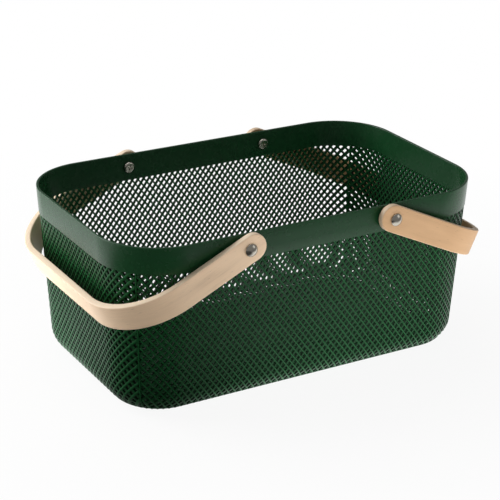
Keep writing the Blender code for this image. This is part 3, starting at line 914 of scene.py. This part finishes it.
class BASKET_OT_handles(Operator):
    """Bend the two wooden strips into handles, with the grain along them"""
    bl_idname = "basket.handles"
    bl_label = "Handles"

    def execute(self, context):
        sizes = context.scene.basket_handles
        fasteners = context.scene.basket_fasteners
        colours = context.scene.basket_finishes
        woods = {"right_handle": bent_wood("warm_bent_wood", colours, tuple(colours.wood_warm)),
                 "left_handle": bent_wood("pale_bent_wood", colours, tuple(colours.wood_pale))}
        for name, body, side in (("right_handle", "right_bail", 1), ("left_handle", "left_bail", -1)):
            pivot = PIVOTS[body]
            centre = np.array([vertex.co for vertex in frame["nodes"][name].data.vertices]).mean(0)
            turn = math.atan2(pivot.z - centre[2], abs(centre[0] - pivot.x))
            piece = handle_strip(name + "_strip", sizes, pivot, side, turn)
            back, length = STRIP_DRILL
            drills = []
            for way in (-1, 1):
                start = Vector((pivot.x, way * (sizes.half_width - back), pivot.z))
                drills.append(pivot_drill(fasteners, start, Vector((0, way, 0)), length))
            cut(piece, drills, 40)
            dress(piece, woods[name], "bent_wood", body, name)
        return {"FINISHED"}


def strip_runs(sizes):
    """Half the length of a strip's straight grip, and the length of one bend."""
    return sizes.half_width - sizes.bend_radius, sizes.bend_radius * math.pi / 2


def strip_path(sizes, along, lift):
    """Where a point of the strip lies in the handle's plane: outward and sideways."""
    run, quarter = strip_runs(sizes)
    far = np.abs(along)
    turn = np.clip((far - run) / sizes.bend_radius, 0, math.pi / 2)
    radius = sizes.bend_radius + lift
    out = sizes.reach - sizes.bend_radius + np.cos(turn) * radius - np.maximum(far - run - quarter, 0)
    side = np.minimum(far, run) + np.sin(turn) * radius
    return out, np.sign(along) * side


def handle_strip(name, sizes, pivot, side, turn):
    """One wooden strip, laid out flat, welded, then bent into its U and leant to its resting place."""
    half = sizes.strip_width / 2
    thick = sizes.strip_thickness
    edge = sizes.edge_round
    rows = list(np.linspace(0, half - edge, ACROSS_STEPS + 1)[:-1])
    right = [(w, 0.0) for w in rows] + round_corner((half - edge, edge), edge, -90, 0, EDGE_STEPS)
    right += round_corner((half - edge, thick - edge), edge, 0, 90, EDGE_STEPS)
    right += [(w, thick) for w in reversed(rows)]
    left = [(-w, t) for w, t in reversed(right)][1:-1]
    ring = right + left
    run, quarter = strip_runs(sizes)
    end = run + quarter + sizes.reach - sizes.bend_radius + sizes.end_offset
    near = np.concatenate([np.linspace(0, run, GRIP_STEPS + 1)[:-1],
                           np.linspace(run, run + quarter, BEND_STEPS + 1)[:-1],
                           np.linspace(run + quarter, end, GRIP_STEPS + 1)])
    stations = np.concatenate([-near[::-1], near[1:]])
    points = [(along, w, t) for along in stations for w, t in ring]
    faces = grid_faces(len(stations), len(ring))
    for way in (-1, 1):
        start = len(points)
        for i in range(END_STEPS + 1):
            swing = math.pi * i / END_STEPS
            points += [(way * (end + w * math.sin(swing)), w * math.cos(swing), t) for w, t in right]
        faces += grid_faces(END_STEPS + 1, len(right), start, columns_meet=False)
    piece = mesh_piece(name, points, faces, 40, clean=True)
    mesh = piece.data
    flat = np.zeros(len(mesh.vertices) * 3)
    mesh.vertices.foreach_get("co", flat)
    flat = flat.reshape(-1, 3)
    grain = mesh.attributes.new("grain", "FLOAT_VECTOR", "POINT")
    grain.data.foreach_set("vector", (flat + GRAIN_START[side]).ravel())
    sawn = mesh.attributes.new("side", "FLOAT", "POINT")
    depth = np.minimum(flat[:, 2], thick - flat[:, 2])
    sawn.data.foreach_set("value", np.clip(depth / edge * 1.6, 0, 1))
    out, across = strip_path(sizes, flat[:, 0], flat[:, 2])
    lift = flat[:, 1]
    place = np.stack([pivot.x + side * (out * math.cos(turn) + lift * math.sin(turn)), across,
                      pivot.z - out * math.sin(turn) + lift * math.cos(turn)], -1)
    mesh.vertices.foreach_set("co", place.ravel())
    face_outward(mesh)
    mesh.update()
    return piece


class BASKET_OT_nuts(Operator):
    """Turn the four barrel nuts with their domed heads"""
    bl_idname = "basket.nuts"
    bl_label = "Dome nuts"

    def execute(self, context):
        sizes = context.scene.basket_fasteners
        steel = shared_finish(plated_steel)
        for corner, node, place, outward, tail, tip in fasteners_of("barrel_nut"):
            face = tip - sizes.dome_height
            rise = sizes.dome_height - sizes.dome_rim
            ball = (sizes.dome_radius ** 2 + rise ** 2) / (2 * rise)
            reach = math.asin(sizes.dome_radius / ball)
            barrel, dome, edge = sizes.barrel_radius, sizes.dome_radius, sizes.dome_edge
            bore = sizes.shank_radius + sizes.socket_play
            inside = tail + sizes.socket_depth
            profile = [(0, inside), (bore, inside), (bore, tail), (barrel - edge, tail),
                       (barrel, tail + edge), (barrel, face), (dome - edge, face), (dome, face + edge),
                       (dome, face + sizes.dome_rim - edge)]
            for turn in np.linspace(DOME_START, 0, DOME_RINGS) * reach:
                profile.append((ball * math.sin(turn), tip - ball + ball * math.cos(turn)))
            piece = turned("dome_nut_" + corner, profile, place, outward, 64, 50)
            dress(piece, steel, "nickel_steel", TUB, node)
        return {"FINISHED"}


class BASKET_OT_screws(Operator):
    """Turn the four pan head screws inside the basket and cut their crosses"""
    bl_idname = "basket.screws"
    bl_label = "Pivot screws"

    def execute(self, context):
        sizes = context.scene.basket_fasteners
        steel = shared_finish(plated_steel)
        for corner, node, place, outward, top, tail in fasteners_of("pivot_screw"):
            middle, ring, shoulder = [top + dish for dish in HEAD_DISH]
            head, rim, edge = sizes.head_radius, sizes.head_round, sizes.small_edge
            shank = sizes.shank_radius
            profile = [(0, middle), (head * HEAD_RING, ring)]
            profile += [(head - rim + rim * math.sin(a), shoulder + rim - rim * math.cos(a))
                        for a in np.radians(range(0, 91, 15))]
            base = top + sizes.head_height
            profile += [(head, base - edge), (head - edge, base), (shank, base), (shank, tail - 2 * edge),
                        (shank - 2 * edge, tail), (0, tail)]
            piece = turned("pan_screw_" + corner, profile, place, outward, 64, 40)
            sign_x, sign_y = CORNERS[corner]
            spin = CROSS_TURN + CROSS_TURN_STEP * (sign_x + 2 * sign_y)
            centre = place + outward * top
            cut(piece, [recess_bar(sizes, centre, outward, spin + turn) for turn in (0, math.pi / 2)], 40)
            dress(piece, steel, "nickel_steel", TUB, node)
        return {"FINISHED"}


def recess_bar(sizes, centre, inward, spin):
    """One arm of the cross cut into a screw's head, narrower at its bottom."""
    along = Vector((math.cos(spin), 0, math.sin(spin)))
    across = Vector((-math.sin(spin), 0, math.cos(spin)))
    points = []
    for depth, share in ((-CROSS_OVERRUN, 1.0), (sizes.recess_depth, CROSS_TAPER)):
        for a, b in ((-1, -1), (1, -1), (1, 1), (-1, 1)):
            reach = along * (a * sizes.recess_reach * share)
            wide = across * (b * sizes.recess_width / 2)
            points.append(centre + reach + wide + inward * depth)
    faces = [(0, 1, 2, 3), (7, 6, 5, 4), (0, 4, 5, 1), (1, 5, 6, 2), (2, 6, 7, 3), (3, 7, 4, 0)]
    return mesh_piece("cross_cutter", points, faces)


class BASKET_OT_washers(Operator):
    """Turn the four spacer washers between the rim and the handles"""
    bl_idname = "basket.washers"
    bl_label = "Spacer washers"

    def execute(self, context):
        sizes = context.scene.basket_fasteners
        nylon = shared_finish(dark_nylon)
        for corner, node, place, outward, near, far in fasteners_of("spacer_washer"):
            bore = sizes.barrel_radius + sizes.barrel_play
            wide, edge = sizes.washer_radius, sizes.small_edge
            profile = [(bore, near + edge), (bore + edge, near), (wide - edge, near), (wide, near + edge),
                       (wide, far - edge), (wide - edge, far), (bore + edge, far), (bore, far - edge),
                       (bore, near + edge)]
            piece = turned("spacer_" + corner, profile, place, outward, 56)
            dress(piece, nylon, "dark_nylon", TUB, node)
        return {"FINISHED"}


class BASKET_OT_stage(Operator):
    """Set the white floor, the soft lights and the camera"""
    bl_idname = "basket.stage"
    bl_label = "Stage"

    def execute(self, context):
        scene = context.scene
        values = scene.basket_stage
        mesh = bpy.data.meshes.new("floor")
        outline = [(x * FLOOR_REACH, y * FLOOR_REACH, 0) for x, y in ((-1, -1), (1, -1), (1, 1), (-1, 1))]
        mesh.from_pydata(outline, [], [(0, 1, 2, 3)])
        mesh.materials.append(white_floor(values))
        add_object("floor", mesh)
        sky(scene, values.sky, values.sheen)
        for name, (place, target, size, power) in LIGHTS.items():
            soft_light(name, place, target, size, getattr(values, power))
        set_camera(scene, values)
        scene.view_settings.view_transform = "Standard"
        return {"FINISHED"}


# Half the side of the floor, how far from the middle it keeps the shadow, and how fast its dim part,
# its dark patch and the shadow begin, per metre.
FLOOR_REACH = 9.0
SHADOW_REACH = 0.6
DIM_EDGE = 6.0
SHADE_EDGE = 10.0
SHADOW_EDGE = 2.5

# Each light's place, what it aims at, its size and the stage's value that holds its power.
LIGHTS = {"top_light": ((-0.2, 0.45, 1.7), (0, 0, 0), 1.7, "key"),
          "side_light": ((-1.15, 1.0, 0.95), (0, 0, 0.1), 1.2, "side"),
          "front_light": ((1.2, -1.2, 1.0), (0, 0, 0.1), 0.9, "fill")}


def grey(level):
    return level, level, level


def white_floor(values):
    """Paper that is white to the camera but for a faint shadow, and lights the basket unevenly."""
    finish = Finish(bpy.data.materials.new("white_floor"))
    camera, glossy, through = [finish.ray(kind) for kind in ("Camera", "Glossy", "Transmission")]
    place = finish.place()
    across, behind = [finish.add("ShaderNodeSeparateXYZ", {}, {0: place}, axis) for axis in (0, 1)]
    right, back, _ = values.dim_place
    dim = ((across - right) * DIM_EDGE).held() * ((behind - back) * DIM_EDGE).held()
    outside = finish.distance(place, values.shade_place) - values.shade_radius
    shade_patch = (1.0 - outside * SHADE_EDGE).held()
    dark = (shade_patch + dim).held()

    # What light falls on: pale paper. In the dark patch and the dim part it is painted nearly black to all
    # but the camera, which paints shade onto the basket.
    paper = finish.blend(finish.noise(place, 3.0, 2.0), grey(0.93), grey(0.96))
    paper = finish.blend(dark * (1.0 - camera), paper, grey(0.03))
    cloth = finish.add("ShaderNodeBsdfDiffuse", {}, {"Color": paper})

    # What it sends up to the basket, most on the left: painted light from the glowing floor, with painted
    # shade where the dark patch and the dim part send up little.
    glare = (1.0 - finish.distance(place, values.table_place) / values.table_reach).held()
    level = values.front + (values.table - values.front) * glare
    sent = finish.scaled(finish.blend(dark, grey(1.0), grey(0.08)), level)
    table = finish.add("ShaderNodeEmission", {}, {"Color": sent})
    lit_paper = finish.add("ShaderNodeAddShader", {}, {0: cloth, 1: table})
    paper_seen = finish.either(camera, lit_paper, cloth)

    # What the camera and the reflections see: plain white to the camera. In reflections the floor is painted
    # darker in front and nearly black in the dark patch, as painted reflection.
    deep = ((behind + values.mirror_edge) * DIM_EDGE).held()
    mirrored = finish.blend(shade_patch, finish.blend(deep, grey(0.20), grey(1.0)), grey(0.05))
    shown = finish.blend(camera, mirrored, grey(1.0))
    glow = finish.add("ShaderNodeEmission", {}, {"Color": shown})

    # Near the basket a share of the lit paper shows through, and with it the shadow.
    near = ((SHADOW_REACH - finish.distance(place, (0, 0, 0))) * SHADOW_EDGE).held()
    seen = (camera + glossy + through).held() * (1.0 - near * values.shadow)
    return finish.output(finish.either(seen, paper_seen, glow))


def sky(scene, strength, sheen):
    """Even light from all round, brighter in reflections and white to the camera."""
    scene.world = bpy.data.worlds.new("studio")
    finish = Finish(scene.world)
    even, bright, white = [finish.add("ShaderNodeBackground", {}, {"Color": (1, 1, 1, 1), "Strength": level})
                           for level in (strength, sheen, 1.0)]
    mixed = finish.either(finish.ray("Glossy"), even, bright)
    finish.output(finish.either(finish.ray("Camera"), mixed, white), "ShaderNodeOutputWorld")


def soft_light(name, place, target, size, power):
    data = bpy.data.lights.new(name, "AREA")
    data.shape = "SQUARE"
    data.size = size
    data.energy = power
    lamp = add_object(name, data)
    lamp.location = place
    aim = Vector(target) - Vector(place)
    lamp.rotation_euler = aim.to_track_quat("-Z", "Y").to_euler()


# Width of the camera's sensor in millimetres, and how far it sees in metres.
SENSOR_WIDTH = 36
SIGHT = 30


def set_camera(scene, values):
    """Stands the camera where the photograph was taken from, level but for its roll."""
    turn = values.azimuth
    lift = values.elevation
    back = Vector((math.sin(turn) * math.cos(lift), -math.cos(turn) * math.cos(lift), math.sin(lift)))
    right = Vector((math.cos(turn), math.sin(turn), 0))
    up = back.cross(right)
    level = right * math.cos(values.roll) + up * math.sin(values.roll)
    top = up * math.cos(values.roll) - right * math.sin(values.roll)
    data = bpy.data.cameras.new("camera")
    data.sensor_width = SENSOR_WIDTH
    data.lens = values.lens
    data.clip_end = SIGHT
    camera = add_object("camera", data)
    matrix = Matrix((level, top, back)).transposed().to_4x4()
    matrix.translation = Vector(values.camera_place)
    camera.matrix_world = matrix
    scene.camera = camera


class BASKET_PT_panel(Panel):
    """Lists the basket's pieces in the sidebar"""
    bl_idname = "BASKET_PT_panel"
    bl_label = "Basket"
    bl_space_type = "VIEW_3D"
    bl_region_type = "UI"
    bl_category = "Basket"

    def draw(self, context):
        for step in STEPS:
            self.layout.operator(step.bl_idname, text=step.bl_label)
        for group in GROUPS.values():
            box = self.layout.box()
            values = getattr(context.scene, group)
            for key in values.bl_rna.properties.keys():
                if key not in ("rna_type", "name"):
                    box.prop(values, key)


GROUPS = {BasketTubSizes: "basket_tub", BasketMeshSizes: "basket_mesh", BasketHandleSizes: "basket_handles",
          BasketFastenerSizes: "basket_fasteners", BasketFinishes: "basket_finishes",
          BasketStageSizes: "basket_stage"}
STEPS = (BASKET_OT_rim, BASKET_OT_walls, BASKET_OT_base, BASKET_OT_handles, BASKET_OT_nuts, BASKET_OT_screws,
         BASKET_OT_washers, BASKET_OT_stage)


def register():
    for kind in (*GROUPS, *STEPS, BASKET_PT_panel):
        bpy.utils.register_class(kind)
    for kind, name in GROUPS.items():
        setattr(bpy.types.Scene, name, PointerProperty(type=kind))


def unregister():
    for name in GROUPS.values():
        delattr(bpy.types.Scene, name)
    for kind in reversed((*GROUPS, *STEPS, BASKET_PT_panel)):
        bpy.utils.unregister_class(kind)


def main():
    register()
    for step in STEPS:
        group, name = step.bl_idname.split(".")
        result = getattr(getattr(bpy.ops, group), name)()
        if result != {"FINISHED"}:
            raise RuntimeError("The step " + step.bl_label + " didn't finish")


if __name__ == "__main__":
    main()
